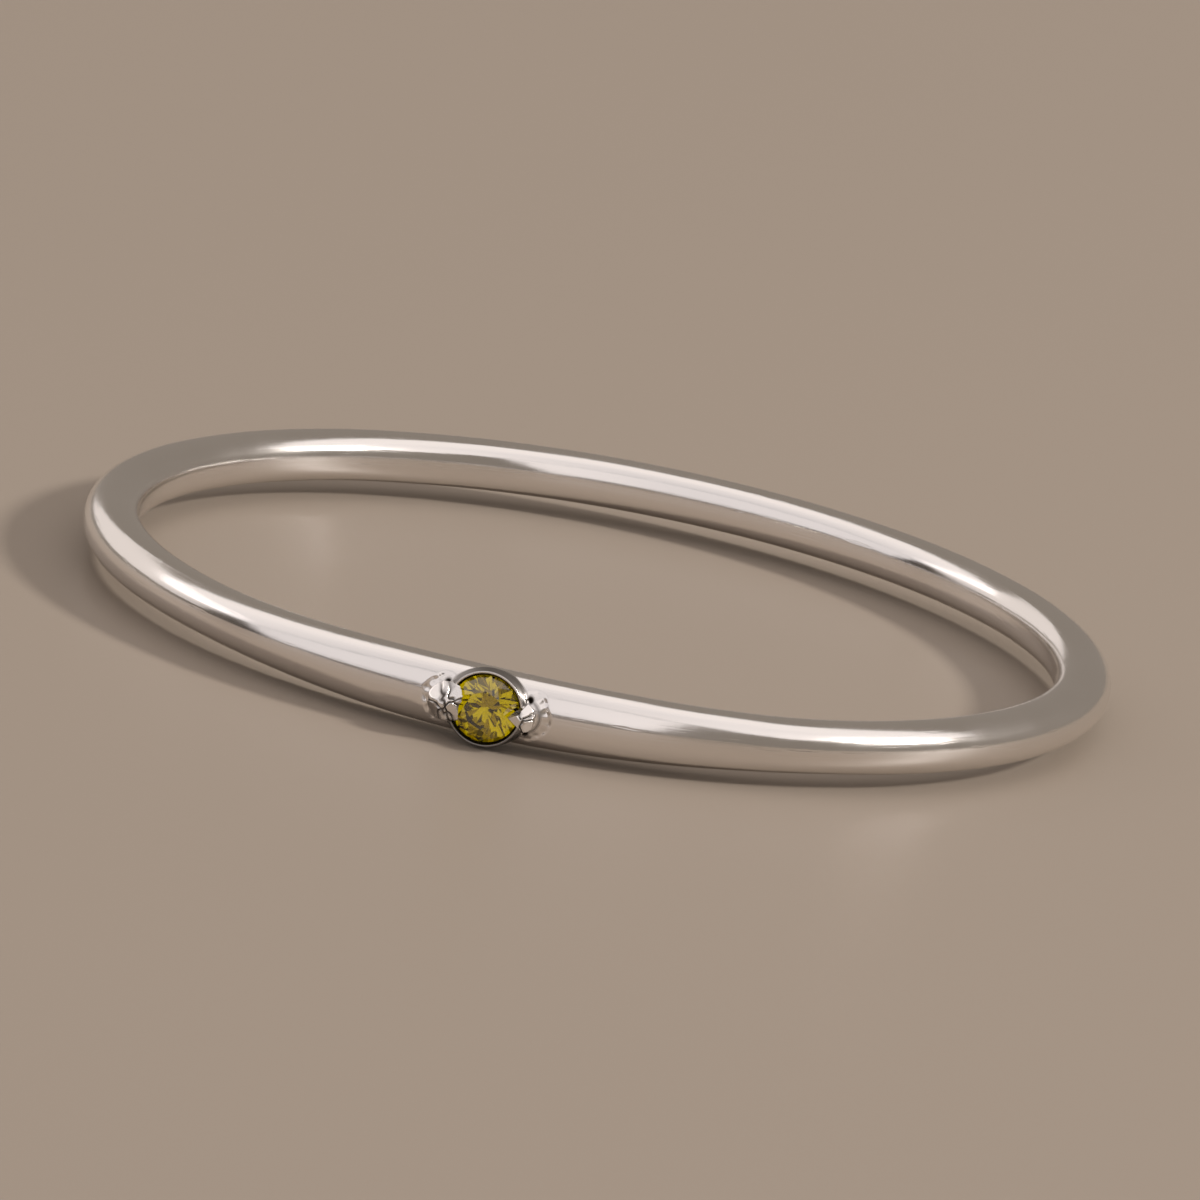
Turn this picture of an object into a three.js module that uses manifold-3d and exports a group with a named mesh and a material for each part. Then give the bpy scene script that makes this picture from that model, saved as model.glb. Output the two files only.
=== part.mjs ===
// A thin stacking ring in cast silver, with one small round brilliant in a cup between two claws.
// Millimetres. The ring lies on its side: its axis is +Z and the stone faces -Y.
// The origin is under the middle of the whole ring, on the surface it lies on.

import * as THREE from "three";
import { mergeVertices } from "three/addons/utils/BufferGeometryUtils.js";
import Module from "manifold-3d";

// The band: its hole for the finger, and its rounded section.
const hole_diameter = 17.3;
const band_thickness = 1.05; // from the finger side to the outer side
const band_width = 0.95; // along the finger
const band_corner_radius = 0.45; // nearly a round wire

// The shoulders, where the band widens and thickens towards the head.
const shoulder_width = 1.28;
const shoulder_rise = 0.08;
const shoulder_length = 7.6; // round the band, from the middle of the head to the plain band

// The stone, a round brilliant.
const stone_diameter = 1.25;
const table_diameter = 0.72;
const crown_height = 0.19;
const girdle_thickness = 0.04;
const pavilion_depth = 0.54;
const star_share = 0.5; // where the star facets end, as a share of the way from table to girdle
const lower_half_share = 0.22; // where the lower halves end, as a share of the way from culet to girdle

// The cup that the stone sits in.
const seat_clearance = 0.04; // from the stone to the metal round it
const cup_wall = 0.1;
const cup_foot_diameter = 1.1;
const cup_foot_depth = 0.75; // from the girdle down to the foot, which ends inside the band
const cup_taper_depth = 0.15; // from the girdle down to where the cup starts to narrow
const rim_height = 0.06; // above the girdle
const rim_bevel = 0.03;
const back_hole_diameter = 0.7;

// The two claws: a bead pushed over the stone from each shoulder.
const claw_along = 0.69; // from the middle of the stone to the middle of a bead, round the band
const claw_lift = 0.05; // from the girdle up to the middle of a bead
const claw_half_length = 0.27;
const claw_half_width = 0.26;
const claw_half_height = 0.25;

// The nicks beside each bead, and the bright cuts behind it.
const nick_along = 0.84;
const nick_across = 0.26;
const nick_diameter = 0.2;
const nick_depth = 0.16;
const cut_along = 1.22;
const cut_across = 0.17;
const cut_length = 0.42;
const cut_width = 0.13;
const cut_splay = 24; // degrees that the two cuts open away from each other

// How fine the round shapes are.
const band_steps = 90;
const corner_steps = 3;
const lathe_steps = 40;
const bead_steps = 18;
const girdle_corners = 16;
const nick_steps = 8;

const hole_radius = hole_diameter / 2;
const outer_radius = hole_radius + band_thickness;
const girdle_radius = outer_radius + shoulder_rise;
const stone_radius = stone_diameter / 2;
const table_radius = table_diameter / 2;
const seat_radius = stone_radius + seat_clearance;
const cup_radius = seat_radius + cup_wall;
const pavilion_slope = pavilion_depth / stone_radius;
const crown_slope = crown_height / (stone_radius - table_radius);
const claw_top = claw_lift + claw_half_height;

const wasm = await Module();
wasm.setup();

// A closed three.js shape as a solid that can be joined and cut.
function solid_of(geometry) {
  const bare = geometry.clone();
  bare.deleteAttribute("normal");
  bare.deleteAttribute("uv");
  const merged = mergeVertices(bare, 1e-5);
  return new wasm.Manifold(
    new wasm.Mesh({
      numProp: 3,
      vertProperties: merged.attributes.position.array,
      triVerts: new Uint32Array(merged.index.array),
    }),
  );
}

function geometry_of(solid) {
  const mesh = solid.getMesh();
  return new THREE.BufferGeometry()
    .setAttribute("position", new THREE.BufferAttribute(mesh.vertProperties, 3))
    .setIndex(new THREE.BufferAttribute(mesh.triVerts, 1));
}

// A turned shape about +Z from rows of [radius, height], listed from the bottom up.
function turned(rows) {
  const profile = rows.map(([radius, height]) => new THREE.Vector2(radius, height));
  return new THREE.LatheGeometry(profile, lathe_steps).rotateX(Math.PI / 2);
}

// Puts a shape made with +Z outwards on the band, at a distance round it from the head's middle,
// a distance across it, and a height above the stone's girdle.
function on_band(geometry, along = 0, across = 0, height = 0) {
  return geometry
    .translate(0, across, height)
    .rotateX(Math.PI / 2)
    .translate(0, -girdle_radius, 0)
    .rotateZ(along / girdle_radius);
}

// How much of the shoulder's full size the band has at a distance round it from the head's
// middle: a half wave of a cosine, one at the head and none where the plain band starts.
function shoulder_share(along) {
  return along < shoulder_length ? (1 + Math.cos((Math.PI * along) / shoulder_length)) / 2 : 0;
}

// The band: a rounded rectangle turned about the ring's axis, then widened at its shoulders.
function band_geometry() {
  const half = band_width / 2;
  const corner = Math.min(band_corner_radius, half, band_thickness / 2);
  const section = new THREE.Shape();
  section.absarc(outer_radius - corner, -half + corner, corner, -Math.PI / 2, 0);
  section.absarc(outer_radius - corner, half - corner, corner, 0, Math.PI / 2);
  section.absarc(hole_radius + corner, half - corner, corner, Math.PI / 2, Math.PI);
  section.absarc(hole_radius + corner, -half + corner, corner, Math.PI, 1.5 * Math.PI);
  section.closePath();
  const geometry = new THREE.LatheGeometry(section.getPoints(corner_steps), band_steps);
  geometry.rotateX(Math.PI / 2);
  const place = geometry.attributes.position;
  for (let i = 0; i < place.count; i++) {
    const x = place.getX(i);
    const y = place.getY(i);
    const radius = Math.hypot(x, y);
    const along = Math.abs(Math.atan2(x, -y)) * girdle_radius;
    const share = shoulder_share(along);
    const outwards = (radius - hole_radius) / band_thickness;
    const grow = 1 + (share * shoulder_rise * outwards) / radius;
    const widen = 1 + share * (shoulder_width / band_width - 1);
    place.setXYZ(i, x * grow, y * grow, place.getZ(i) * widen);
  }
  return geometry;
}

// The cup's outside: a short tube that narrows towards the finger, with a bevelled rim.
function cup_geometry() {
  return turned([
    [0, -cup_foot_depth],
    [cup_foot_diameter / 2, -cup_foot_depth],
    [cup_radius, -cup_taper_depth],
    [cup_radius, rim_height - rim_bevel],
    [cup_radius - rim_bevel, rim_height],
    [0, rim_height],
  ]);
}

// The room that the stone needs: its own profile, grown by the clearance on every side.
function stone_room_geometry() {
  const seat_edge = -girdle_thickness - seat_clearance;
  const top = seat_clearance + (seat_radius - table_radius) * crown_slope;
  return turned([
    [0, seat_edge - seat_radius * pavilion_slope],
    [seat_radius, seat_edge],
    [seat_radius, seat_clearance],
    [table_radius, top],
    [0, top],
  ]);
}

// The open mouth of the cup, from the girdle up past the claws.
function mouth_geometry() {
  return turned([
    [0, 0],
    [seat_radius, 0],
    [seat_radius, claw_top],
    [0, claw_top],
  ]);
}

// The hole behind the stone, from the girdle right through to the finger and past it.
function back_hole_geometry() {
  const radius = back_hole_diameter / 2;
  const past_finger_side = girdle_radius - hole_radius / 2;
  return turned([
    [0, -past_finger_side],
    [radius, -past_finger_side],
    [radius, -girdle_thickness],
    [0, -girdle_thickness],
  ]);
}

function bead_geometry(side) {
  const bead = new THREE.SphereGeometry(1, bead_steps, bead_steps / 2);
  bead.scale(claw_half_length, claw_half_width, claw_half_height);
  return on_band(bead, side * claw_along, 0, claw_lift);
}

// A pointed nick that frees the bead from the shoulder beside it.
function nick_geometry(side, edge) {
  const nick = new THREE.ConeGeometry(nick_diameter, 2 * nick_depth, nick_steps);
  nick.rotateX(-Math.PI / 2);
  return on_band(nick, side * nick_along, edge * nick_across, 0);
}

// A straight groove with two bright flanks: a square bar on its edge, half sunk in the shoulder.
function cut_geometry(side, edge) {
  const bar = cut_width / Math.SQRT2;
  const cut = new THREE.BoxGeometry(cut_length, bar, bar);
  cut.rotateX(Math.PI / 4);
  cut.rotateZ(THREE.MathUtils.degToRad(side * edge * cut_splay));
  return on_band(cut, side * cut_along, edge * cut_across, 0);
}

function band_solid() {
  const room = solid_of(on_band(stone_room_geometry()));
  let metal = solid_of(band_geometry())
    .add(solid_of(on_band(cup_geometry())))
    .subtract(solid_of(on_band(mouth_geometry())))
    .subtract(solid_of(on_band(back_hole_geometry())));
  for (const side of [-1, 1]) metal = metal.add(solid_of(bead_geometry(side)));
  metal = metal.subtract(room);
  for (const side of [-1, 1]) {
    for (const edge of [-1, 1]) {
      metal = metal.subtract(solid_of(nick_geometry(side, edge)));
      metal = metal.subtract(solid_of(cut_geometry(side, edge)));
    }
  }
  return metal;
}

// The brilliant, with +Z towards its table and its girdle's upper edge at height 0. Corners go
// round in eighths: table, stars, girdle and lower halves each lie on a circle of their own, and
// the stars and lower halves sit at the height that keeps the facets beside them flat.
function brilliant_geometry() {
  const eighths = girdle_corners / 2;
  const half_step = Math.PI / eighths;
  const star_radius = table_radius + star_share * (stone_radius - table_radius);
  const star_height = crown_height - crown_slope * (star_radius * Math.cos(half_step) - table_radius);
  const low_radius = lower_half_share * stone_radius;
  const culet = -girdle_thickness - pavilion_depth;
  const low_height = culet + low_radius * Math.cos(half_step) * pavilion_slope;
  const corners = [];
  const circle = (count, radius, height, offset) => {
    const first = corners.length;
    for (let i = 0; i < count; i++) {
      const turn = offset + (2 * Math.PI * i) / count;
      corners.push([radius * Math.cos(turn), radius * Math.sin(turn), height]);
    }
    return (i) => first + (((i % count) + count) % count);
  };
  const table = circle(eighths, table_radius, crown_height, 0);
  const star = circle(eighths, star_radius, star_height, half_step);
  const upper = circle(girdle_corners, stone_radius, 0, 0);
  const lower = circle(girdle_corners, stone_radius, -girdle_thickness, 0);
  const low = circle(eighths, low_radius, low_height, half_step);
  const point = circle(1, 0, culet, 0)(0);
  const middle = circle(1, 0, crown_height, 0)(0);
  const faces = [];
  for (let k = 0; k < eighths; k++) {
    const corner = 2 * k;
    faces.push([middle, table(k), table(k + 1)]);
    faces.push([table(k), star(k), table(k + 1)]);
    faces.push([table(k), upper(corner), star(k)], [table(k), star(k - 1), upper(corner)]);
    faces.push([star(k), upper(corner), upper(corner + 1)]);
    faces.push([star(k), upper(corner + 1), upper(corner + 2)]);
    faces.push([point, low(k), lower(corner)], [point, lower(corner), low(k - 1)]);
    faces.push([low(k), lower(corner + 1), lower(corner)]);
    faces.push([low(k), lower(corner + 2), lower(corner + 1)]);
  }
  for (let j = 0; j < girdle_corners; j++) {
    faces.push([upper(j), lower(j), lower(j + 1)], [upper(j), lower(j + 1), upper(j + 1)]);
  }
  return new THREE.BufferGeometry()
    .setAttribute("position", new THREE.Float32BufferAttribute(corners.flat(), 3))
    .setIndex(faces.flat());
}

const silver = new THREE.MeshStandardMaterial({ color: 0xddd8d0, roughness: 0.12, metalness: 1 });
const olive_stone = new THREE.MeshStandardMaterial({ color: 0x8f8a12, roughness: 0.03, metalness: 0 });

const band = new THREE.Mesh(geometry_of(band_solid()), silver);
band.name = "band";

const stone = new THREE.Mesh(brilliant_geometry(), olive_stone);
stone.name = "stone";
stone.rotation.x = Math.PI / 2;
stone.position.y = -girdle_radius;

const ring = new THREE.Group();
ring.name = "stackable_ring";
ring.add(band, stone);

// The claws stand out on one side only, and the cup is wider than the band, so the hole's axis is
// off the middle of the ring's box and the band's own sides are clear of the surface it lies on.
const reach = new THREE.Box3().setFromObject(ring);
ring.position.set(0, -(reach.min.y + reach.max.y) / 2, -reach.min.z);

export default ring;
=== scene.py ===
"""A thin stacking ring in polished sterling silver, with a small olive stone in a cup between two claws.

Shapes are worked out in millimetres and written to their meshes in metres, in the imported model's frame:
the ring lies on its side, its axis is +Z and the stone faces -Y.
"""

import bpy
import numpy as np
from mathutils import Matrix, Vector


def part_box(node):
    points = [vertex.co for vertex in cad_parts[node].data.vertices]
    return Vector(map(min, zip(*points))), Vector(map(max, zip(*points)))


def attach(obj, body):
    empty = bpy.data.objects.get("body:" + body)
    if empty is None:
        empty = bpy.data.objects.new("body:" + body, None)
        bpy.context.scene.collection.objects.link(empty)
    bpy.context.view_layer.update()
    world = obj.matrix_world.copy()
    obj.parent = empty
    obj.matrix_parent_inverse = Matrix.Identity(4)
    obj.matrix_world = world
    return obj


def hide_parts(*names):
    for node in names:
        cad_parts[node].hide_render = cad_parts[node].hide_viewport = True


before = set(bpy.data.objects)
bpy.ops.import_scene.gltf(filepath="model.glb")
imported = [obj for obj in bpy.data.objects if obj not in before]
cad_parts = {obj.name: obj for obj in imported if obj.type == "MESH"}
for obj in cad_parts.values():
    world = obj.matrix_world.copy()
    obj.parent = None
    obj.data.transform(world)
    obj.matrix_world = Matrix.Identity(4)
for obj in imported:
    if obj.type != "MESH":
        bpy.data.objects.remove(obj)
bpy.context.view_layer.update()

MM = 0.001

# Lengths are in mm, apart from those of lamps and shader patterns. Band and shoulders, as in the part's source.
HOLE_RADIUS = 8.65
BAND_THICKNESS = 1.05
BAND_WIDTH = 0.95
SHOULDER_WIDTH = 1.28
SHOULDER_RISE = 0.08
SHOULDER_LENGTH = 7.6
GIRDLE_RADIUS = HOLE_RADIUS + BAND_THICKNESS + SHOULDER_RISE  # from the hole's axis to the stone's girdle

# Stone and cup, as in the part's source.
STONE_RADIUS = 0.625
TABLE_RADIUS = 0.36
CROWN_HEIGHT = 0.19
GIRDLE_THICKNESS = 0.04
PAVILION_DEPTH = 0.54
STAR_SHARE = 0.5
LOWER_HALF_SHARE = 0.22
CLEARANCE = 0.04
SEAT_RADIUS = STONE_RADIUS + CLEARANCE
CUP_WALL = 0.1
CUP_RADIUS = SEAT_RADIUS + CUP_WALL
CUP_TAPER_TOP = -0.15  # height from the girdle
CUP_FOOT = (0.55, -0.75)  # radius, and height from the girdle
RIM_HEIGHT = 0.06
RIM_BEVEL = 0.03
BACK_HOLE_RADIUS = 0.35
PAVILION_SLOPE = PAVILION_DEPTH / STONE_RADIUS
CROWN_SLOPE = CROWN_HEIGHT / (STONE_RADIUS - TABLE_RADIUS)

# Where the claws are, as in the part's source: along the band and out from the girdle.
CLAW_ALONG = 0.69
CLAW_LIFT = 0.05
CLAW_RAISE = 0.04  # how much further out the claws sit here than there

# The nicks beside the claws, a little narrower than in the part's source, and nearer the stone.
NICK_ALONG, NICK_ACROSS, NICK_RADIUS, NICK_DEPTH = 0.78, 0.31, 0.085, 0.16
NICK_EDGE = 0.012  # how soft its edge is

# A bright cut, drawn as the crescent that the graver leaves behind a claw. The part's source has straight
# grooves in its place.
CUT_START = 0.32  # from the claw's middle
CUT_WIDTH, CUT_WALL, CUT_DEPTH = 0.17, 0.075, 0.042
CUT_HALF_TURN, CUT_HORN = 100.0, 45.0  # degrees to either side, and degrees over which a horn runs out
CUT_STEPS, CUT_CHATTER = 16.0, 0.007  # the graver's waves to a full turn round the claw, and their depth
SCALLOP_LEAST, SCALLOP_SWING, SCALLOPS = 0.68, 0.32, 2.5  # shares of the cut's width, and half their number
DEEPEST_CUT = 0.2  # no cut or nick goes deeper

# The hole's axis and the ring's middle plane, from where the stone is in the frame.
stone_low, stone_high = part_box("stone")
AXIS_Y = stone_low.y / MM + CROWN_HEIGHT + GIRDLE_RADIUS
MIDDLE_Z = (stone_low.z + stone_high.z) / 2 / MM

# The band's grid: lines along the head, along the rest of the hoop, and round the section. A block is the width
# of the head's rectangle, measured round the section.
HEAD_HALF = 1.8
HEAD_ROWS = 80
HOOP_ROWS = 220
HOOP_CROWDING = 1.1  # how much closer the hoop's lines lie next to the head
BLOCK_COLUMNS = 96
SIDE_COLUMNS = 3
OUTER_BLOCK_HALF = 1.0
INNER_BLOCK_HALF = 0.6

# Fine shapes that the part's source leaves out.
FILLET = 0.05  # of solder round the cup's foot
HOLE_LIP = 0.04  # the rounded edge of the hole behind the stone
RIM_CREST = 0.022  # from the seat out to the highest line of the rim
RIM_FOOT = 0.712  # the radius at which the leaning cup wall turns into the rim
CREASE_DEPTH = 0.035  # that a fold sinks into a claw
CLAW_WAVES, CLAW_WAVE_PITCH, CLAW_UNEVENNESS = 6, 3.2, 0.012  # their number, how close, and how high
FACET_EDGE = 0.006  # how soft the edge of a tool facet is
WAVER = 0.0035  # that a hand-finished band strays from a true round
WAVER_START, WAVER_GROWTH = 1.0, 3.0  # from the middle of the head, and over how much it grows to its full size

# How dark and rough each recess is, from 0 for bare polish to 1 for the most: the darkening is painted shade,
# and the roughness a duller finish.
FILLET_SHADE = 0.75
WALL_SHADE = 0.78
RIM_SHADE = 0.75
SEAT_SHADE, SEAT_CONE_SHADE = 0.95, 0.85
HOLE_SHADE, LIP_SHADE = 0.5, 0.3
CUT_FOOT_SHADE, CUT_FOOT_REACH = 0.65, 0.05  # next to the claw, and how far from its foot
CLAW_FOOT_SHADE, CREASE_SHADE = 0.8, 0.95
CLAW_FOOT_TOP, CLAW_FOOT_FADE = 0.1, 0.14  # the height below which a claw darkens, and over how much
NICK_SHADE_TOP, NICK_SHADE_FADE = 0.02, 0.08  # the same for a nick, by the height of its cone

# How finely the surfaces are worked out.
SECTION_SAMPLES = 7201
HALVINGS = 40  # steps in the search for the line where two skins meet
CUP_SEARCH, HOLE_SEARCH = (-0.7, 0.05), (-1.3, -0.9)  # the heights between which those lines lie
SKIN_LOOPS, FILLET_LOOPS, WALL_LOOPS, RIM_LOOPS, CREST_LOOPS = 72, 8, 12, 7, 5
SEAT_LOOPS, SEAT_CONE_LOOPS, HOLE_LOOPS, LIP_LOOPS, FINGER_LOOPS = 5, 8, 8, 5, 23
CLAW_COLUMNS, CLAW_ROWS = 128, 84
CLAW_REACH, CLAW_SAMPLES = 0.4, 321  # how far and how finely a claw is tested against the stone
FAR = 9.0  # further than any claw reaches


def mesh_piece(name, places, faces, crease_degrees=None):
    """A mesh object from places in mm and rows of corner numbers."""
    mesh = bpy.data.meshes.new(name)
    mesh.from_pydata((np.asarray(places, float) * MM).tolist(), [], [list(map(int, f)) for f in faces])
    mesh.validate()
    mesh.update()
    mesh.shade_smooth()
    if crease_degrees is not None:
        mesh.set_sharp_from_angle(angle=np.radians(crease_degrees))
    piece = bpy.data.objects.new(name, mesh)
    bpy.context.scene.collection.objects.link(piece)
    return piece


def point_attribute(piece, name, values):
    """One number for each vertex, which a material reads."""
    attribute = piece.data.attributes.new(name, "FLOAT", "POINT")
    attribute.data.foreach_set("value", np.asarray(values, np.float32))


def head_place(x, across, height):
    """A point of the head, from its distances from the stone's girdle, in the frame."""
    return np.stack([x, AXIS_Y - (GIRDLE_RADIUS + height), MIDDLE_Z + across], -1)


def shoulder_share(along):
    """How much of the shoulder's size the band has: half a cosine wave, 1 at the head and 0 where it ends."""
    turn = np.clip(np.abs(along) / SHOULDER_LENGTH, 0, 1)
    return (1 + np.cos(np.pi * turn)) / 2


def section_table():
    """The band's section by distance round it: a superellipse |x/a|^n + |z/b|^n = 1 about the wire's middle.

    The distance starts at the middle of the outer side and goes round by +Z.
    """
    polar = np.linspace(0, 2 * np.pi, SECTION_SAMPLES)
    cosine, sine = np.cos(polar), np.sin(polar)
    n = section_power(cosine)
    reach = (np.abs(cosine / (BAND_THICKNESS / 2)) ** n + np.abs(sine / (BAND_WIDTH / 2)) ** n) ** (-1 / n)
    x, z = reach * cosine, reach * sine
    distance = np.concatenate([[0], np.cumsum(np.hypot(np.diff(x), np.diff(z)))])
    return polar, x, z, distance


def section_power(cosine):
    """The superellipse's power: 2.15 on the outer side and 2.45 on the finger side, which is flatter."""
    return 2.3 - 0.15 * cosine


POLAR, SECTION_X, SECTION_Z, SECTION_DISTANCE = section_table()
SECTION_LENGTH = SECTION_DISTANCE[-1]


def band_skin(along, around):
    """The band's skin from the distance along the hoop and the distance round the section.

    The section is thickened outwards and widened by the shoulder's share, then turned about the hole's axis.
    A slow waver of a few thousandths of a millimetre, the sum of three sine waves of 5, 11 and 23 to a turn,
    is what hand polishing leaves.
    """
    around = np.mod(around, SECTION_LENGTH)
    x = np.interp(around, SECTION_DISTANCE, SECTION_X)
    z = np.interp(around, SECTION_DISTANCE, SECTION_Z)
    share = shoulder_share(along)
    out = (x + BAND_THICKNESS / 2) / BAND_THICKNESS
    turn = along / GIRDLE_RADIUS
    growth = np.clip((np.abs(along) - WAVER_START) / WAVER_GROWTH, 0, 1)
    waver = WAVER * growth * (np.sin(5 * turn + 0.7) + 0.7 * np.sin(11 * turn + 2.1) + 0.5 * np.sin(23 * turn))
    radius = HOLE_RADIUS + BAND_THICKNESS / 2 + x + share * SHOULDER_RISE * out + waver
    z = z * (1 + share * (SHOULDER_WIDTH / BAND_WIDTH - 1)) + 0.6 * waver * np.sin(3 * turn + 4 * around)
    return np.stack([radius * np.sin(turn), AXIS_Y - radius * np.cos(turn), MIDDLE_Z + z], -1)


def cup_wall_radius(height):
    """The cup's outside: straight at the top, narrowing below towards its foot."""
    foot_radius, foot_height = CUP_FOOT
    share = np.clip((CUP_TAPER_TOP - height) / (CUP_TAPER_TOP - foot_height), 0, 1)
    return CUP_RADIUS + share * (foot_radius - CUP_RADIUS)


def outside_section(x, across, height):
    """Above nought outside the plain band, below nought inside it, for a point of the head."""
    radius = np.hypot(x, GIRDLE_RADIUS + height)
    along = np.arctan2(x, GIRDLE_RADIUS + height) * GIRDLE_RADIUS
    share = shoulder_share(along)
    growth = share * SHOULDER_RISE / BAND_THICKNESS
    plain_radius = (radius + growth * HOLE_RADIUS) / (1 + growth)
    dx = plain_radius - HOLE_RADIUS - BAND_THICKNESS / 2
    dz = across / (1 + share * (SHOULDER_WIDTH / BAND_WIDTH - 1))
    polar = np.arctan2(dz, dx)
    n = section_power(np.cos(polar))
    value = np.abs(dx / (BAND_THICKNESS / 2)) ** n + np.abs(dz / (BAND_WIDTH / 2)) ** n - 1
    around = np.interp(np.mod(polar, 2 * np.pi), POLAR, SECTION_DISTANCE)
    around = np.where(around > SECTION_LENGTH / 2, around - SECTION_LENGTH, around)
    return value, along, around


def cup_meets_band(angle):
    """Where the cup's wall comes out of the band: along, around and height at each angle, by halving."""
    low, high = np.full_like(angle, CUP_SEARCH[0]), np.full_like(angle, CUP_SEARCH[1])
    for _ in range(HALVINGS):
        middle = (low + high) / 2
        radius = cup_wall_radius(middle)
        outside = outside_section(radius * np.cos(angle), radius * np.sin(angle), middle)[0] > 0
        high, low = np.where(outside, middle, high), np.where(outside, low, middle)
    radius = cup_wall_radius(high)
    _, along, around = outside_section(radius * np.cos(angle), radius * np.sin(angle), high)
    return along, around, high


def hole_meets_finger_side(angle):
    """Where the back hole comes out on the finger side: along and distance round the section, by halving."""
    x, across = BACK_HOLE_RADIUS * np.cos(angle), BACK_HOLE_RADIUS * np.sin(angle)
    low, high = np.full_like(angle, HOLE_SEARCH[0]), np.full_like(angle, HOLE_SEARCH[1])
    for _ in range(HALVINGS):
        middle = (low + high) / 2
        outside = outside_section(x, across, middle)[0] > 0
        low, high = np.where(outside, middle, low), np.where(outside, high, middle)
    _, along, around = outside_section(x, across, low)
    return along, np.mod(around, SECTION_LENGTH), low


def smooth_least(a, b, softness):
    """The lower of two heights, rounded where they cross."""
    mix = np.clip(0.5 + 0.5 * (b - a) / softness, 0, 1)
    return b * (1 - mix) + a * mix - softness * mix * (1 - mix)


def carve(places, along, across):
    """Sinks the nicks and the bright cuts into the head's skin.

    A nick is a pointed cone. A bright cut is a crescent round the back of a claw: from the claw outwards it
    sinks along a broad flat flank and comes up again at a steep little wall, and it runs out at its two
    horns. Its outer edge is scalloped, one scallop for each stroke of the graver. Small waves across it, as
    deep as CUT_CHATTER, are the steps of the graver. The skin sinks along the radius. Painted shade is laid in
    a narrow ring round the foot of each claw, and in each nick.
    """
    radial = places - np.array([0, AXIS_Y, 0])
    radial[..., 2] = 0
    radius = np.linalg.norm(radial, axis=-1)
    height = radius - GIRDLE_RADIUS
    sink = np.zeros_like(height)
    shade = np.zeros_like(height)
    for side in (-1, 1):
        out = side * along - CLAW_ALONG
        reach = np.hypot(out, across)
        turn = np.degrees(np.arctan2(across, out))
        horns = np.clip((CUT_HALF_TURN - np.abs(turn)) / CUT_HORN, 0, 1)
        strokes = SCALLOP_LEAST + SCALLOP_SWING * np.abs(np.cos(SCALLOPS * np.radians(turn) + 0.6 * side))
        width = CUT_WIDTH * np.sqrt(horns) * strokes + 1e-6
        flank = (reach - CUT_START) / width
        wall = (CUT_START + width + CUT_WALL - reach) / CUT_WALL
        profile = np.clip(np.minimum(flank, wall), 0, 1)
        chatter = CUT_CHATTER * np.sin(np.radians(turn) * CUT_STEPS + 2.5 * side) * profile
        sink = np.maximum(sink, (CUT_DEPTH * profile + chatter) * horns)
        # Painted shade in a narrow ring round the claw's foot, where the cut starts.
        foot = np.clip(1 - np.abs(reach - CUT_START) / CUT_FOOT_REACH, 0, 1)
        shade = np.maximum(shade, CUT_FOOT_SHADE * horns * foot)
        for edge in (-1, 1):
            reach = np.hypot(along - side * NICK_ALONG, across - edge * NICK_ACROSS)
            cone = (reach / NICK_RADIUS - 1) * NICK_DEPTH
            level = smooth_least(height, cone, NICK_EDGE)
            sink = np.maximum(sink, height - level)
            # Painted shade in the nick, darkest at its point.
            shade = np.maximum(shade, np.clip(NICK_SHADE_TOP - cone, 0, NICK_SHADE_FADE) / NICK_SHADE_FADE)
    sink = np.where(radius > HOLE_RADIUS + BAND_THICKNESS / 2, np.clip(sink, 0, DEEPEST_CUT), 0)
    unit = radial / radius[..., None]
    return places - unit * sink[..., None], shade


def corner_curve(before, corner, after, steps):
    """A rounded corner: the quadratic curve (1-t)^2 A + 2t(1-t) C + t^2 B, without its first point."""
    t = (np.arange(1, steps + 1) / steps)[:, None, None]
    return (1 - t) ** 2 * before + 2 * t * (1 - t) * corner + t**2 * after


def straight_loops(first, last, steps):
    """Evenly spaced loops from one closed line to another, without the first."""
    t = np.arange(1, steps + 1) / steps
    return first + (last - first) * t[:, None, None]


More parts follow.
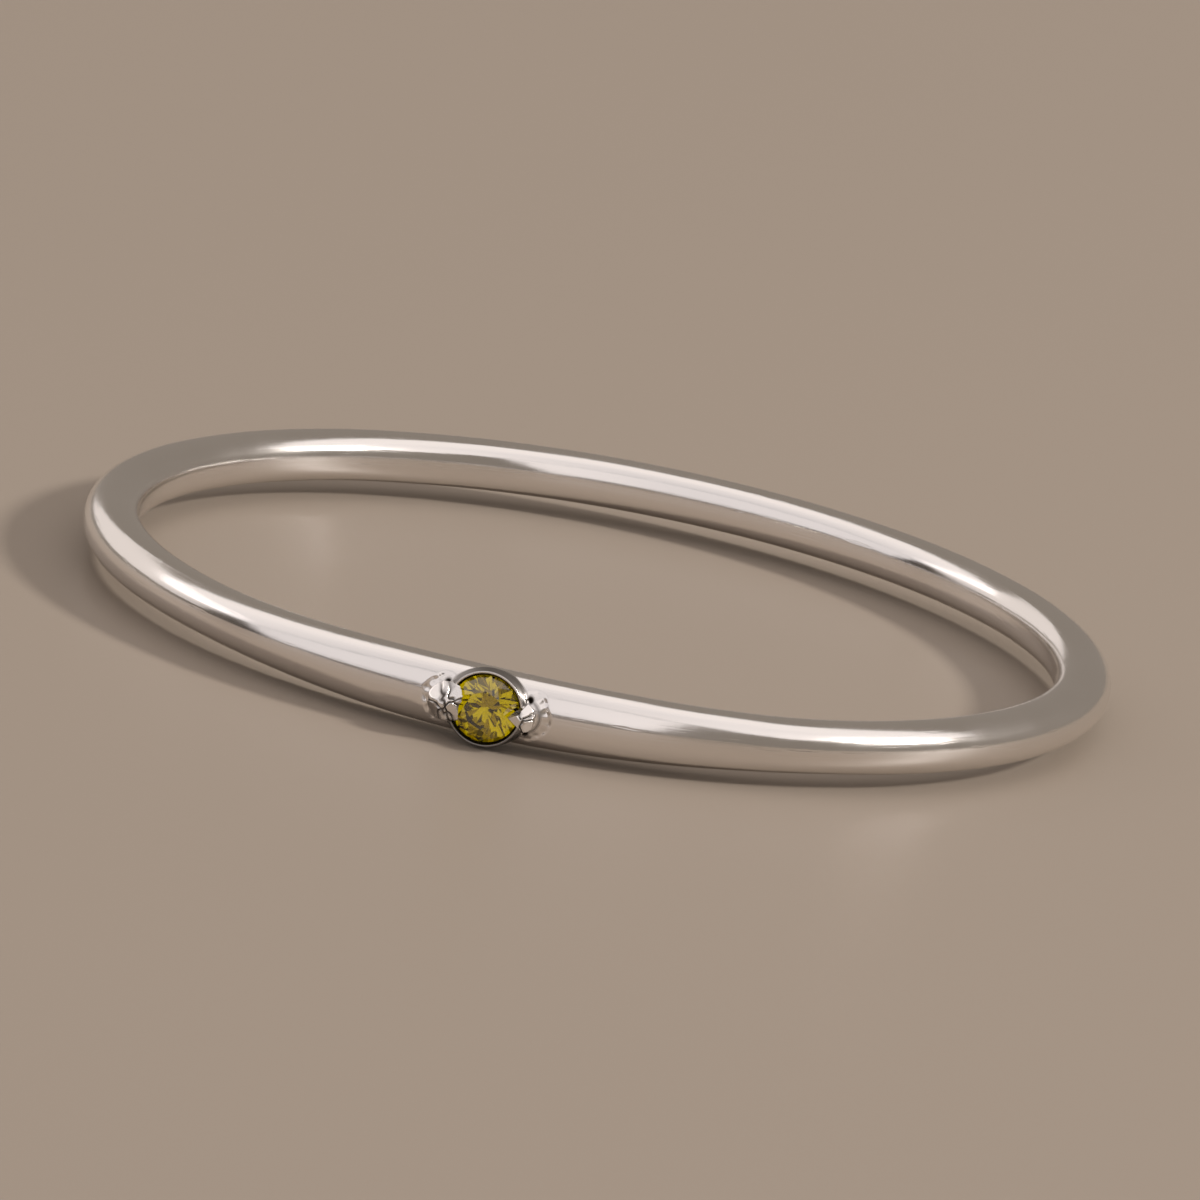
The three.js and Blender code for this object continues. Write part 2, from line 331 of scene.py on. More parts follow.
def band_piece():
    """The hoop, its cup and the hole behind the stone, as one closed surface.

    The hoop is a grid along it and round its section. At the head two rectangles of that grid are left out,
    one on the outer side and one on the finger side. Loops with as many points as a rectangle's border run
    from the outer rectangle over the skin to the cup, up its wall, over its rim, down its seat and the back
    hole, and out to the border on the finger side.
    """
    circumference = 2 * np.pi * GIRDLE_RADIUS
    head = np.linspace(-HEAD_HALF, HEAD_HALF, HEAD_ROWS + 1)
    spread = np.linspace(-1, 1, HOOP_ROWS + 1)[1:-1]
    crowded = (circumference / 2 - HEAD_HALF) * np.tanh(HOOP_CROWDING * spread) / np.tanh(HOOP_CROWDING)
    hoop = circumference / 2 + crowded
    along = np.concatenate([head, hoop])
    half = SECTION_LENGTH / 2
    outer = np.linspace(-OUTER_BLOCK_HALF, OUTER_BLOCK_HALF, BLOCK_COLUMNS + 1)
    inner = half + np.linspace(-INNER_BLOCK_HALF, INNER_BLOCK_HALF, BLOCK_COLUMNS + 1)
    first_side = np.linspace(outer[-1], inner[0], SIDE_COLUMNS + 1)[1:-1]
    last_side = np.linspace(inner[-1], SECTION_LENGTH + outer[0], SIDE_COLUMNS + 1)[1:-1]
    around = np.concatenate([outer, first_side, inner, last_side])
    rows, columns = along.size, around.size
    wrapped = np.where(along > circumference / 2, along - circumference, along)
    grid_along, grid_around = np.meshgrid(wrapped, around, indexing="ij")
    grid = band_skin(grid_along, grid_around)
    number = np.arange(rows * columns).reshape(rows, columns)
    i, j = np.meshgrid(np.arange(rows), np.arange(columns), indexing="ij")
    inner_first = BLOCK_COLUMNS + SIDE_COLUMNS
    in_head = i < HEAD_ROWS
    left_out = in_head & ((j < BLOCK_COLUMNS) | ((j >= inner_first) & (j < inner_first + BLOCK_COLUMNS)))
    i, j = i[~left_out], j[~left_out]
    i2, j2 = (i + 1) % rows, (j + 1) % columns
    quads = np.stack([number[i, j], number[i2, j], number[i2, j2], number[i, j2]], -1)

    def border(first_column):
        """Row and column numbers of a rectangle's border, anticlockwise seen from outside the outer side."""
        last_column = first_column + BLOCK_COLUMNS
        a = np.arange(HEAD_ROWS)
        b = np.arange(BLOCK_COLUMNS)
        row = np.concatenate([np.full(BLOCK_COLUMNS, HEAD_ROWS), HEAD_ROWS - a, np.full(BLOCK_COLUMNS, 0), a])
        column = np.concatenate([first_column + b, np.full(HEAD_ROWS, last_column), last_column - b,
                                 np.full(HEAD_ROWS, first_column)])
        return row, column

    row, column = border(0)
    count = row.size
    border_along, border_around = wrapped[row], around[column]
    by_angle = np.unwrap(np.arctan2(border_around, border_along))
    by_count = by_angle[0] + np.arange(count) * 2 * np.pi / count
    by_count += np.mean(by_angle - by_count)
    # The border's own angles, mixed with evenly spaced ones, keep the loops' faces close to square.
    angle = 0.35 * by_angle + 0.65 * by_count

    meet_along, meet_around, meet_height = cup_meets_band(angle)
    ring = np.stack([np.cos(angle), np.sin(angle)], -1)

    def circle(radius, height):
        """A loop of the head with this radius and height at each angle."""
        radius, height = np.broadcast_to(radius, angle.shape), np.broadcast_to(height, angle.shape)
        return head_place(radius * ring[:, 0], radius * ring[:, 1], height)

    loops, dark = [], []

    def add(places, shade=0.0):
        """Keeps some loops, with how far each is darkened as painted shade and made rougher."""
        loops.append(places)
        dark.append(np.broadcast_to(shade, places.shape[:2]))

    shares = np.arange(1, SKIN_LOOPS + 1) / SKIN_LOOPS
    # The loops lie a little closer together next to the cup.
    shares = shares + 0.12 * np.sin(np.pi * shares) * (1 - shares)
    length = np.linalg.norm(
        band_skin(border_along, border_around) - band_skin(meet_along, meet_around), axis=-1)
    stop = 1 - np.minimum(FILLET / length, 0.3)
    fractions = shares[:, None] * stop[None, :]
    t_along = border_along + (meet_along - border_along) * fractions
    t_around = border_around + (meet_around - border_around) * fractions
    places = band_skin(t_along, t_around)
    add(*carve(places, t_along, places[..., 2] - MIDDLE_Z))

    corner = circle(cup_wall_radius(meet_height), meet_height)
    wall_top = RIM_HEIGHT - RIM_BEVEL
    rise = np.minimum(FILLET, 0.55 * (wall_top - meet_height))
    after_height = meet_height + rise
    after = circle(cup_wall_radius(after_height), after_height)
    fillet = corner_curve(loops[-1][-1], corner, after, FILLET_LOOPS)
    # Painted shade along the fillet at the cup's foot, darkest in its middle.
    add(fillet, FILLET_SHADE * np.sin(np.linspace(0.35, 2.6, FILLET_LOOPS))[:, None])
    up_wall = np.arange(1, WALL_LOOPS + 1) / WALL_LOOPS
    heights = after_height + (wall_top - after_height) * up_wall[:, None]
    lean = 1 - (CUP_RADIUS - RIM_FOOT) / CUP_RADIUS * up_wall**1.5
    # Painted shade on the whole cup wall.
    add(np.stack([circle(cup_wall_radius(h) * k, h) for h, k in zip(heights, lean)]), WALL_SHADE)
    # Painted shade on the rim: darkest at its foot and gone at its crest, darker again into the seat, and more
    # all along the rim's lower half, next to whatever the ring lies on.
    lower_rim_shade = RIM_SHADE * np.clip(0.35 - np.sin(angle), 0, 1)[None, :]
    crest = circle(SEAT_RADIUS + RIM_CREST, RIM_HEIGHT)
    add(corner_curve(loops[-1][-1], circle(RIM_FOOT, RIM_HEIGHT), crest, RIM_LOOPS),
        np.maximum(np.linspace(0.8, 0.0, RIM_LOOPS)[:, None], lower_rim_shade))
    seat_top = circle(SEAT_RADIUS, RIM_HEIGHT - RIM_CREST)
    add(corner_curve(loops[-1][-1], circle(SEAT_RADIUS, RIM_HEIGHT), seat_top, CREST_LOOPS),
        np.maximum(np.linspace(0.0, 0.9, CREST_LOOPS)[:, None], lower_rim_shade))
    seat_edge = -GIRDLE_THICKNESS - CLEARANCE
    # Painted shade in the seat, down its cone and through the back hole.
    add(straight_loops(loops[-1][-1], circle(SEAT_RADIUS, seat_edge), SEAT_LOOPS), SEAT_SHADE)
    seat_foot = seat_edge - (SEAT_RADIUS - BACK_HOLE_RADIUS) * PAVILION_SLOPE
    add(straight_loops(loops[-1][-1], circle(BACK_HOLE_RADIUS, seat_foot), SEAT_CONE_LOOPS), SEAT_CONE_SHADE)
    hole_along, hole_around, hole_height = hole_meets_finger_side(angle)
    hole_foot = circle(BACK_HOLE_RADIUS, hole_height + HOLE_LIP)
    add(straight_loops(loops[-1][-1], hole_foot, HOLE_LOOPS), HOLE_SHADE)
    row2, column2 = border(inner_first)
    finger_border = number[row2, column2]
    # On the finger side the same turn round the head meets the section's distances the other way round.
    finger_along = wrapped[row2]
    finger_around = around[column2]
    finger_angle = np.arctan2(half - finger_around, finger_along)
    shift = int(np.argmin(np.abs(np.angle(np.exp(1j * (finger_angle - angle[0]))))))
    step = 1 if np.angle(np.exp(1j * (finger_angle[(shift + 1) % count] - finger_angle[shift]))) > 0 else -1
    turn_order = (shift + step * np.arange(count)) % count
    finger_border = finger_border[turn_order]
    finger_along, finger_around = finger_along[turn_order], finger_around[turn_order]
    finger_length = np.hypot(finger_along - hole_along, finger_around - hole_around)
    start = np.minimum(HOLE_LIP / finger_length, 0.3)
    fractions = start + (1 - start) * (np.arange(FINGER_LOOPS) / FINGER_LOOPS)[:, None]
    finger = band_skin(hole_along + (finger_along - hole_along) * fractions,
                       hole_around + (finger_around - hole_around) * fractions)
    # A little painted shade on the hole's rounded lip.
    add(corner_curve(loops[-1][-1], circle(BACK_HOLE_RADIUS, hole_height), finger[0], LIP_LOOPS), LIP_SHADE)
    add(finger[1:])

    stack = np.concatenate(loops)
    shade = np.concatenate(dark)
    extra = grid.reshape(-1, 3).shape[0] + np.arange(stack.shape[0] * count).reshape(stack.shape[0], count)
    lines = np.concatenate([number[row, column][None], extra, finger_border[None]])
    k, m = np.meshgrid(np.arange(lines.shape[0] - 1), np.arange(count), indexing="ij")
    m2 = (m + 1) % count
    patch = np.stack([lines[k, m], lines[k, m2], lines[k + 1, m2], lines[k + 1, m]], -1).reshape(-1, 4)
    places = np.concatenate([grid.reshape(-1, 3), stack.reshape(-1, 3)])
    shades = np.concatenate([np.zeros(grid.shape[0] * columns), shade.reshape(-1)])
    faces = np.concatenate([quads, patch])
    used = np.unique(faces)
    renumber = np.full(places.shape[0], -1)
    renumber[used] = np.arange(used.size)
    piece = mesh_piece("silver_band", places[used], renumber[faces])
    point_attribute(piece, "recess", shades[used])
    return piece


def stone_room_height(reach):
    """The lowest height that metal may have over the stone, by distance from its middle.

    It is the height of the crown's cone, or of the table, with the gap added.
    """
    return CLEARANCE + (SEAT_RADIUS - np.maximum(reach, TABLE_RADIUS)) * CROWN_SLOPE


def claw_piece(name, side, half, facets, creases, seed):
    """A bead pushed over the stone: for each direction from its middle, the nearest of an ellipsoid, a few
    flat tool facets (the plane n.p = d is met at d / n.u), and the room that the stone needs.

    Six sine waves in random directions make the ellipsoid a little uneven. A crease is the band of directions
    close to the circle n.u = c, where the metal folded: it is sunk there by a bell-shaped curve and painted
    darker as shade, as is the claw's lower part.
    """
    turn = np.linspace(0, 2 * np.pi, CLAW_COLUMNS, endpoint=False)
    tilt = np.linspace(0, np.pi, CLAW_ROWS + 1)[1:-1]
    tilt_grid, turn_grid = np.meshgrid(tilt, turn, indexing="ij")
    unit = np.stack([np.sin(tilt_grid) * np.cos(turn_grid), np.sin(tilt_grid) * np.sin(turn_grid),
                     np.cos(tilt_grid)], -1).reshape(-1, 3)
    unit = np.concatenate([[[0, 0, 1.0]], unit, [[0, 0, -1.0]]])
    reach = 1 / np.sqrt(((unit / np.array(half)) ** 2).sum(-1))
    random = np.random.default_rng(seed)
    waves = random.normal(size=(CLAW_WAVES, 3)) * CLAW_WAVE_PITCH
    phases = random.uniform(0, 6.28, CLAW_WAVES)
    wobble = np.sin(unit @ waves.T + phases).sum(-1)
    reach = reach * (1 + CLAW_UNEVENNESS * wobble)
    for normal, distance in facets:
        normal = np.array(normal, float)
        normal /= np.linalg.norm(normal)
        facing = unit @ normal
        plane = np.where(facing > 0.05, distance / np.maximum(facing, 0.05), FAR)
        reach = smooth_least(reach, plane, FACET_EDGE)
    fold = np.zeros(len(unit))
    for normal, level, width in creases:
        normal = np.array(normal, float)
        normal /= np.linalg.norm(normal)
        away = (unit @ normal - level + 0.05 * wobble) / width
        # A fold fades out on the claw's underside.
        fold = np.maximum(fold, np.exp(-away**2) * np.clip(unit[:, 2] + 0.6, 0, 1))
    reach = reach - CREASE_DEPTH * fold
    # Each direction stops just short of the first point that is inside the room that the stone needs.
    steps = np.linspace(0, CLAW_REACH, CLAW_SAMPLES)
    centre = np.array([side * CLAW_ALONG, 0.0, CLAW_LIFT + CLAW_RAISE])
    path = centre + unit[:, None, :] * steps[None, :, None]
    across = np.hypot(path[..., 0], path[..., 1])
    inside = (across < SEAT_RADIUS) & (path[..., 2] < stone_room_height(across))
    first = np.where(inside.any(1), steps[np.argmax(inside, 1)], FAR) - 0.001
    reach = np.minimum(reach, np.maximum(first, 0.01))
    places = centre + unit * reach[:, None]
    places = head_place(places[:, 0], places[:, 1], places[:, 2])
    ring = 1 + np.arange((CLAW_ROWS - 1) * CLAW_COLUMNS).reshape(CLAW_ROWS - 1, CLAW_COLUMNS)
    after = np.roll(ring, -1, 1)
    walls = np.stack([ring[:-1], ring[1:], after[1:], after[:-1]], -1).reshape(-1, 4)
    last = places.shape[0] - 1
    top = np.stack([np.zeros(CLAW_COLUMNS, int), ring[0], after[0]], -1)
    bottom = np.stack([np.full(CLAW_COLUMNS, last), after[-1], ring[-1]], -1)
    faces = [*walls.tolist(), *top.tolist(), *bottom.tolist()]
    piece = mesh_piece(name, places, faces, crease_degrees=30)
    # Painted shade on the claw's lower part, below CLAW_FOOT_TOP, and along its creases.
    height = AXIS_Y - places[:, 1] - GIRDLE_RADIUS
    low = np.clip((CLAW_FOOT_TOP - height) / CLAW_FOOT_FADE, 0, 1)
    point_attribute(piece, "recess", np.maximum(CLAW_FOOT_SHADE * low**1.5, CREASE_SHADE * fold))
    return piece


def stone_piece():
    """A round brilliant: table, 8 stars, 8 kites, 16 upper halves, a round girdle, 8 mains and 16 lower halves.

    Its corners lie on circles. Where a facet meets the round girdle its edge is the curve in which the
    facet's plane cuts the cylinder of the girdle, so the girdle's edges are scalloped.
    """
    eighths, arc = 8, 6
    half_step = np.pi / eighths
    star_radius = TABLE_RADIUS + STAR_SHARE * (STONE_RADIUS - TABLE_RADIUS)
    star_height = CROWN_HEIGHT - CROWN_SLOPE * (star_radius * np.cos(half_step) - TABLE_RADIUS)
    low_radius = LOWER_HALF_SHARE * STONE_RADIUS
    culet = -GIRDLE_THICKNESS - PAVILION_DEPTH
    low_height = culet + low_radius * np.cos(half_step) * PAVILION_SLOPE

    def circle(steps, radius, offset=0.0):
        turn = offset + 2 * np.pi * np.arange(steps) / steps
        return np.stack([radius * np.cos(turn), radius * np.sin(turn)], -1)

    def at(xy, height):
        return np.concatenate([xy, np.full((len(xy), 1), height)], -1)

    table = at(circle(eighths, TABLE_RADIUS), CROWN_HEIGHT)
    star = at(circle(eighths, star_radius, half_step), star_height)
    low = at(circle(eighths, low_radius, half_step), low_height)
    round_xy = circle(16 * arc, STONE_RADIUS)

    def girdle_edge(tips, level):
        """Heights round the girdle: each sixteenth lies in the plane through its two corners and its tip."""
        corner = at(circle(16, STONE_RADIUS), level)
        after = np.roll(corner, -1, 0)
        tip = np.repeat(tips, 2, 0)
        normal = np.cross(after - corner, tip - corner)
        xy = round_xy.reshape(16, arc, 2)
        offset = xy - corner[:, None, :2]
        height = level - (offset * normal[:, None, :2]).sum(-1) / normal[:, None, 2]
        return np.concatenate([round_xy, height.reshape(-1, 1)], -1)

    upper = girdle_edge(star, 0.0)
    lower = girdle_edge(low, -GIRDLE_THICKNESS)
    places = np.concatenate([table, star, upper, lower, low, [[0, 0, culet]]])
    t0, s0, u0 = 0, eighths, 2 * eighths
    l0 = u0 + 16 * arc
    w0 = l0 + 16 * arc
    point = w0 + eighths
    k = np.arange(eighths)
    k2, back = (k + 1) % eighths, (k - 1) % eighths
    girdle = 16 * arc
    faces = [list(t0 + k)]
    faces += np.stack([t0 + k, s0 + k, t0 + k2], -1).tolist()
    faces += np.stack([t0 + k, s0 + back, u0 + 2 * arc * k, s0 + k], -1).tolist()
    span = np.arange(arc + 1)
    for half in (0, 1):
        run = (arc * (2 * k[:, None] + half) + span) % girdle
        faces += np.concatenate([(s0 + k)[:, None], u0 + run], -1).tolist()
        faces += np.concatenate([(w0 + k)[:, None], (l0 + run)[:, ::-1]], -1).tolist()
    faces += np.stack([np.full(eighths, point), w0 + k, l0 + 2 * arc * k, w0 + back], -1).tolist()
    j = np.arange(girdle)
    j2 = (j + 1) % girdle
    faces += np.stack([u0 + j, l0 + j, l0 + j2, u0 + j2], -1).tolist()
    piece = mesh_piece("olive_brilliant", head_place(*places.T), faces)
    piece.data.shade_flat()
    is_girdle = np.zeros(len(piece.data.polygons), np.int32)
    is_girdle[-girdle:] = 1
    piece.data.polygons.foreach_set("material_index", is_girdle)
    return piece


def linear(hex_colour):
    """An sRGB hex colour as the linear colour that a shader takes."""
    value = np.array([int(hex_colour[n:n + 2], 16) for n in (0, 2, 4)]) / 255
    value = np.where(value <= 0.04045, value / 12.92, ((value + 0.055) / 1.055) ** 2.4)
    return (*value.tolist(), 1.0)


def add_node(tree, kind, links=None, settings=None, values=None):
    """Adds a node: links are sockets it reads, settings its own properties, and values go on its sockets."""
    node = tree.nodes.new(kind)
    for name, value in (settings or {}).items():
        setattr(node, name, value)
    for name, value in (values or {}).items():
        node.inputs[name].default_value = value
    for name, source in (links or {}).items():
        tree.links.new(source, node.inputs[name])
    return node


def new_material(name):
    """An empty node material, and its tree."""
    material = bpy.data.materials.new(name)
    material.use_nodes = True
    material.node_tree.nodes.clear()
    return material, material.node_tree


def polished_sterling_silver():
    """Sterling silver, cast and hand polished on a wheel: warm white, nearly a mirror, with fine polishing
    lines that run along the hoop, faint cloudy patches of duller metal, hair scratches from wear, and grey
    painted shade in the recesses, which are also rougher."""
    material, tree = new_material("polished_sterling_silver")
    place = add_node(tree, "ShaderNodeTexCoord").outputs["Object"]
    axes = add_node(tree, "ShaderNodeSeparateXYZ", {"Vector": place})
    # The turn about the hoop's axis, the reach from it and the height, so that a pattern can follow the hoop.
    turn = add_node(tree, "ShaderNodeMath", {0: axes.outputs["X"], 1: axes.outputs["Y"]},
                    {"operation": "ARCTAN2"})
    flat = add_node(tree, "ShaderNodeCombineXYZ", {"X": axes.outputs["X"], "Y": axes.outputs["Y"]})
    reach = add_node(tree, "ShaderNodeVectorMath", {0: flat.outputs["Vector"]}, {"operation": "LENGTH"})
    hoop = add_node(tree, "ShaderNodeCombineXYZ",
                    {"X": turn.outputs[0], "Y": reach.outputs["Value"], "Z": axes.outputs["Z"]})
    # Polishing lines: 0.02 mm apart on the real ring, drawn 0.05 mm apart so that they show, 3 mm long.
    lines = add_node(tree, "ShaderNodeVectorMath", {0: hoop.outputs["Vector"]}, {"operation": "MULTIPLY"},
                     {1: (3.0, 20000.0, 20000.0)})
    line_noise = add_node(tree, "ShaderNodeTexNoise", {"Vector": lines.outputs["Vector"]}, None,
                          {"Scale": 1.0, "Detail": 3.0, "Roughness": 0.6})
    # Hair scratches: crossing stretched cells about 0.06 mm wide and 1 mm long.
    scratch_place = add_node(tree, "ShaderNodeMapping", {"Vector": place}, None,
                             {"Rotation": (0.5, 0.9, 0.4), "Scale": (900.0, 900.0, 15000.0)})
    scratch = add_node(tree, "ShaderNodeTexNoise", {"Vector": scratch_place.outputs["Vector"]}, None,
                       {"Scale": 1.0, "Detail": 2.0, "Roughness": 0.5})
    scratch_lines = add_node(tree, "ShaderNodeValToRGB", {"Fac": scratch.outputs["Fac"]})
    bare, scratched = scratch_lines.color_ramp.elements
    bare.position, bare.color = 0.62, (0, 0, 0, 1)
    scratched.position, scratched.color = 0.7, (1, 1, 1, 1)
    # Clouding: patches 1 to 2 mm across.
    clouds = add_node(tree, "ShaderNodeTexNoise", {"Vector": place}, None,
                      {"Scale": 700.0, "Detail": 4.0, "Roughness": 0.55})
    recess = add_node(tree, "ShaderNodeAttribute", None, {"attribute_name": "recess"})
    # Roughness: a polish that clouds a little, more across the polishing lines, and much more in a recess.
    rough = add_node(tree, "ShaderNodeMapRange", {"Value": clouds.outputs["Fac"]}, None,
                     {"From Min": 0.3, "From Max": 0.7, "To Min": 0.08, "To Max": 0.15})
    rough_lines = add_node(tree, "ShaderNodeMath",
                           {0: line_noise.outputs["Fac"], 2: rough.outputs["Result"]},
                           {"operation": "MULTIPLY_ADD"}, {1: 0.1})
    rough_recess = add_node(tree, "ShaderNodeMath", {0: recess.outputs["Fac"], 2: rough_lines.outputs[0]},
                            {"operation": "MULTIPLY_ADD"}, {1: 0.25})
    # Painted shade: the colour darkens towards 3A332D as far as the recess attribute goes.
    colour = add_node(tree, "ShaderNodeMix", {"Factor": recess.outputs["Fac"]}, {"data_type": "RGBA"},
                      {"A": linear("F0EDEA"), "B": linear("3A332D")})
    # Relief: lines and scratches a micrometre or two deep, over clouding a few micrometres deep.
    height = add_node(tree, "ShaderNodeMath",
                      {0: scratch_lines.outputs["Color"], 2: line_noise.outputs["Fac"]},
                      {"operation": "MULTIPLY_ADD"}, {1: -0.6})
    bump = add_node(tree, "ShaderNodeBump", {"Height": height.outputs[0]}, None,
                    {"Strength": 0.4, "Distance": 0.000004})
    soft = add_node(tree, "ShaderNodeBump",
                    {"Height": clouds.outputs["Fac"], "Normal": bump.outputs["Normal"]}, None,
                    {"Strength": 0.3, "Distance": 0.00002})
    shader = add_node(tree, "ShaderNodeBsdfPrincipled",
                      {"Base Color": colour.outputs["Result"], "Roughness": rough_recess.outputs[0],
                       "Normal": soft.outputs["Normal"]}, None, {"Metallic": 1.0})
    add_node(tree, "ShaderNodeOutputMaterial", {"Surface": shader.outputs["BSDF"]})
    return material


def cut_olive_gemstone(name, roughness):
    """Gem crystal, cut and polished: clear olive yellow with a slight unevenness of colour, near-mirror
    facets, and a girdle left a little matt."""
    material, tree = new_material(name)
    place = add_node(tree, "ShaderNodeTexCoord").outputs["Object"]
    # Colour zones about 0.3 mm across.
    zones = add_node(tree, "ShaderNodeTexNoise", {"Vector": place}, None,
                     {"Scale": 3000.0, "Detail": 3.0, "Roughness": 0.6})
    colour = add_node(tree, "ShaderNodeMix", {"Factor": zones.outputs["Fac"]}, {"data_type": "RGBA"},
                      {"A": linear("CFB800"), "B": linear("B4A000")})
    polish = add_node(tree, "ShaderNodeMapRange", {"Value": zones.outputs["Fac"]}, None,
                      {"From Min": 0.3, "From Max": 0.7, "To Min": roughness, "To Max": roughness * 1.8})
    shader = add_node(tree, "ShaderNodeBsdfPrincipled",
                      {"Base Color": colour.outputs["Result"], "Roughness": polish.outputs["Result"]}, None,
                      {"IOR": 2.05, "Transmission Weight": 1.0})
    add_node(tree, "ShaderNodeOutputMaterial", {"Surface": shader.outputs["BSDF"]})
    return material


def matt_taupe_board():
    """A sheet of matt painted board: plain pale taupe, even, with hardly any sheen."""
    material, tree = new_material("matt_taupe_board")
    place = add_node(tree, "ShaderNodeTexCoord").outputs["Object"]
    # Clouds of slightly duller paint, about 17 mm across.
    clouds = add_node(tree, "ShaderNodeTexNoise", {"Vector": place}, None,
                      {"Scale": 60.0, "Detail": 3.0, "Roughness": 0.5})
    rough = add_node(tree, "ShaderNodeMapRange", {"Value": clouds.outputs["Fac"]}, None,
                     {"From Min": 0.3, "From Max": 0.7, "To Min": 0.38, "To Max": 0.44})
    shader = add_node(tree, "ShaderNodeBsdfPrincipled", {"Roughness": rough.outputs["Result"]}, None,
                      {"Base Color": linear("978C80"), "Specular IOR Level": 0.12})
    add_node(tree, "ShaderNodeOutputMaterial", {"Surface": shader.outputs["BSDF"]})
    return material


def give(piece, *materials):
    for material in materials:
        piece.data.materials.append(material)


silver = polished_sterling_silver()
band = band_piece()
give(band, silver)
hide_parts("band")
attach(band, "root")

# Each claw: its half sizes, its tool facets (direction and distance) and its creases (direction, level, width).
CLAWS = {
    "claw_left": (-1, (0.38, 0.38, 0.28), [((-0.5, 0.75, 0.75), 0.275), ((-0.7, -0.6, 0.7), 0.28),
                                          ((0.6, -0.2, 1.0), 0.235), ((0.2, 0.8, 1.0), 0.24)],
                  [((1.0, 0.5, 0.1), 0.05, 0.11), ((0.8, -0.7, 0.3), 0.45, 0.09), ((1.0, 0.9, 0.0), 0.62, 0.1),
                   ((-0.6, -1.0, 0.2), 0.6, 0.08)], 3),
    "claw_right": (1, (0.26, 0.29, 0.25), [((-0.62, 0.78, 0.3), 0.15), ((-0.55, -0.8, 0.35), 0.18),
                                           ((0.75, -0.3, 0.8), 0.2), ((0.5, 0.7, 0.8), 0.19),
                                           ((-0.3, -0.2, 1.0), 0.215)],
                   [((0.6, 1.0, 0.1), 0.42, 0.1), ((1.0, -0.5, 0.1), 0.5, 0.09)], 8),
}
for claw_name, (claw_side, claw_half, claw_facets, claw_creases, claw_seed) in CLAWS.items():
    claw = claw_piece(claw_name, claw_side, claw_half, claw_facets, claw_creases, claw_seed)
    give(claw, silver)
    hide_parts("band")
    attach(claw, "root")

stone = stone_piece()
give(stone, cut_olive_gemstone("cut_olive_gemstone", 0.01), cut_olive_gemstone("matt_girdle_gemstone", 0.3))
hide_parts("stone")
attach(stone, "root")

# The floor: a plain square board, 3 m wide, at the height that the ring lies on.
FLOOR_HALF = 1500.0
corners = np.array([(-1, -1, 0), (1, -1, 0), (1, 1, 0), (-1, 1, 0)]) * FLOOR_HALF
floor = mesh_piece("floor", corners, [[0, 1, 2, 3]])
give(floor, matt_taupe_board())


def studio_lamp(name, place, target, size, power, colour, shape="RECTANGLE"):
    """An area lamp, in metres and watts, that faces its target."""
    lamp = bpy.data.lights.new(name, "AREA")
    lamp.shape, lamp.size, lamp.size_y, lamp.energy = shape, size[0], size[1], power
    lamp.color = linear(colour)[:3]
    holder = bpy.data.objects.new(name, lamp)
    bpy.context.scene.collection.objects.link(holder)
    direction = Vector(target) - Vector(place)
    holder.matrix_world = Matrix.Translation(place) @ direction.to_track_quat("-Z", "Y").to_matrix().to_4x4()


# A wide panel behind the camera and to its left, from 6 to 58 degrees up, a ceiling panel from there over the
# ring to 54 degrees up behind, a wide low panel at the back left, and a small hot lamp on the right, 35
# degrees up.
studio_lamp("front_softbox", (-1.0, -1.0, 0.63), (-1.0, 0.0, 0.0), (3.4, 1.14), 9.8, "FFF8F8")
studio_lamp("ceiling_softbox", (-0.6, 0.05, 0.75), (-0.6, 0.05, 0.0), (3.2, 1.0), 7.6, "FFF8F8")
studio_lamp("left_softbox", (-0.95, 0.5, 0.42), (0.0, 0.0, 0.15), (1.5, 0.62), 1.7, "FFF6F4")
studio_lamp("key_lamp", (0.49, 0.04, 0.34), (0.0, 0.0, 0.0), (0.09, 0.09), 2.9, "FFF8F2", "DISK")


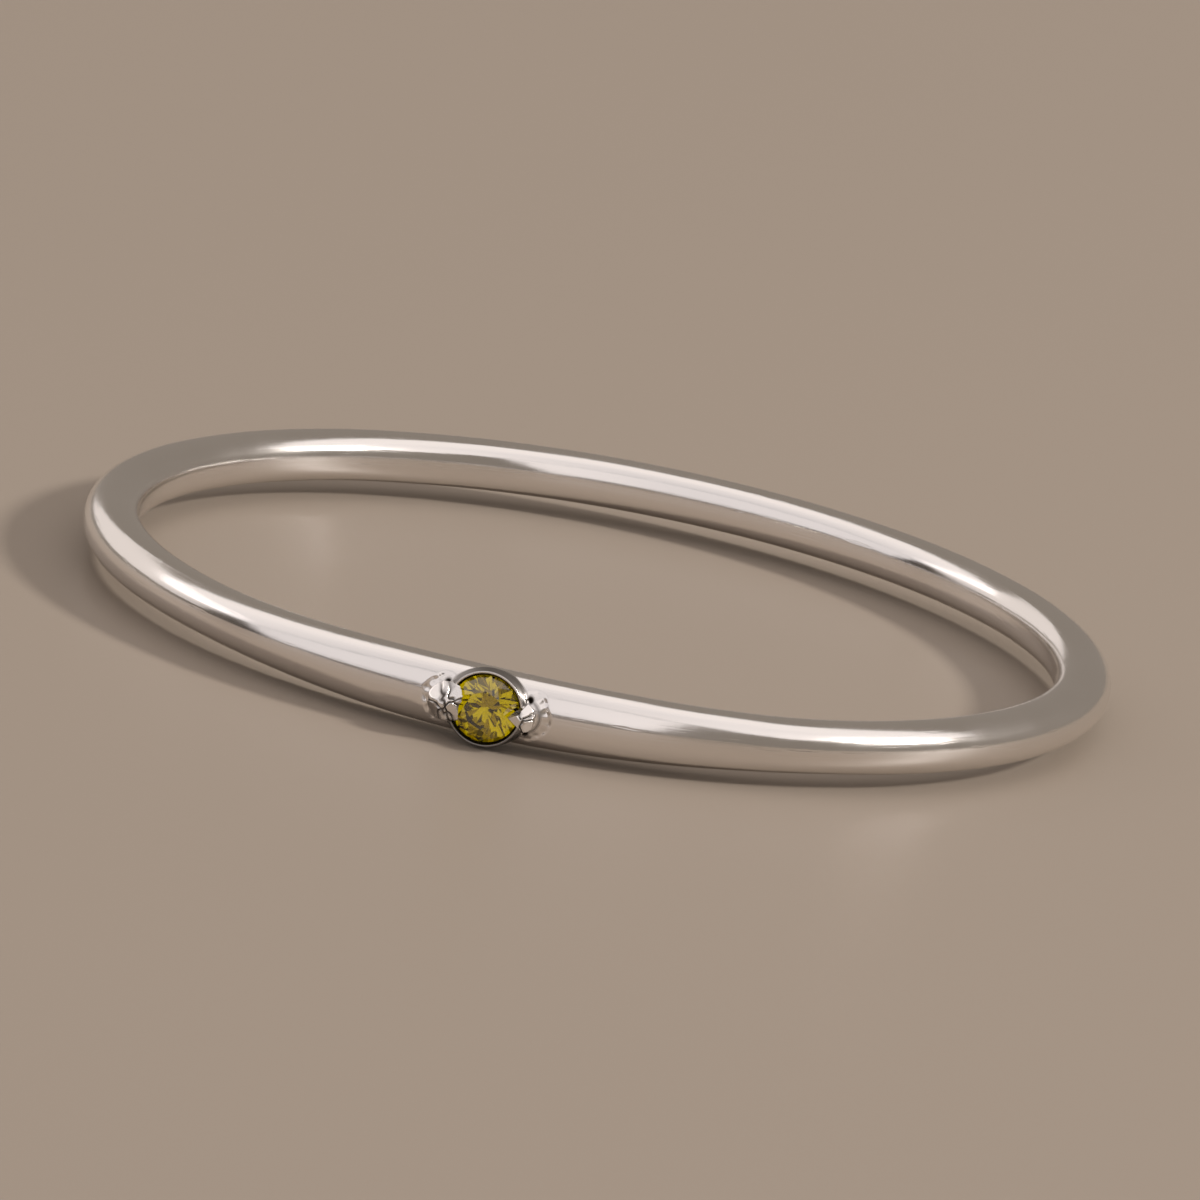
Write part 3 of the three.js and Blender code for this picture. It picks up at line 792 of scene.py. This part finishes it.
def studio_world():
    """The room round the table: a grey-brown backdrop behind and on the right, a dark brown room in front."""
    world = bpy.data.worlds.new("studio")
    bpy.context.scene.world = world
    world.use_nodes = True
    tree = world.node_tree
    direction = add_node(tree, "ShaderNodeSeparateXYZ",
                         {"Vector": add_node(tree, "ShaderNodeTexCoord").outputs["Generated"]})
    behind = add_node(tree, "ShaderNodeMapRange", {"Value": direction.outputs["Y"]}, None,
                      {"From Min": -0.35, "From Max": 0.25})
    right = add_node(tree, "ShaderNodeMapRange", {"Value": direction.outputs["X"]}, None,
                     {"From Min": -0.1, "From Max": 0.7, "To Min": 0.0, "To Max": 0.9})
    light_side = add_node(tree, "ShaderNodeMath", {0: behind.outputs["Result"], 1: right.outputs["Result"]},
                          {"operation": "MAXIMUM"})
    colour = add_node(tree, "ShaderNodeMix", {"Factor": light_side.outputs[0]}, {"data_type": "RGBA"},
                      {"A": linear("463C33"), "B": linear("B5A99D")})
    background = tree.nodes["Background"]
    tree.links.new(colour.outputs["Result"], background.inputs["Color"])
    background.inputs["Strength"].default_value = 0.56


studio_world()

# The camera: degrees above the floor, to the stone's right and of tilt, and its distance.
CAMERA_ELEVATION, CAMERA_AZIMUTH, CAMERA_ROLL, CAMERA_DISTANCE = 14.0, 9.7, 10.3, 370.0
VIEW_WIDTH = 22.34  # across the picture at the ring
SENSOR_WIDTH = 36.0
AIM = (0.05, AXIS_Y, MIDDLE_Z - 0.02)  # the middle of the hoop, a little to the right and down
elevation, azimuth, roll = np.radians([CAMERA_ELEVATION, CAMERA_AZIMUTH, CAMERA_ROLL])
camera_data = bpy.data.cameras.new("camera")
camera_data.sensor_width = SENSOR_WIDTH
camera_data.lens = SENSOR_WIDTH * CAMERA_DISTANCE / VIEW_WIDTH
camera_data.clip_start = 0.01  # in metres
camera = bpy.data.objects.new("camera", camera_data)
bpy.context.scene.collection.objects.link(camera)
backward = Vector((np.sin(azimuth) * np.cos(elevation), -np.cos(azimuth) * np.cos(elevation),
                   np.sin(elevation)))
look = (-backward).to_track_quat("-Z", "Y").to_matrix().to_4x4() @ Matrix.Rotation(roll, 4, "Z")
camera.matrix_world = Matrix.Translation(Vector(AIM) * MM + backward * CAMERA_DISTANCE * MM) @ look
bpy.context.scene.camera = camera
bpy.context.scene.view_settings.view_transform = "Standard"
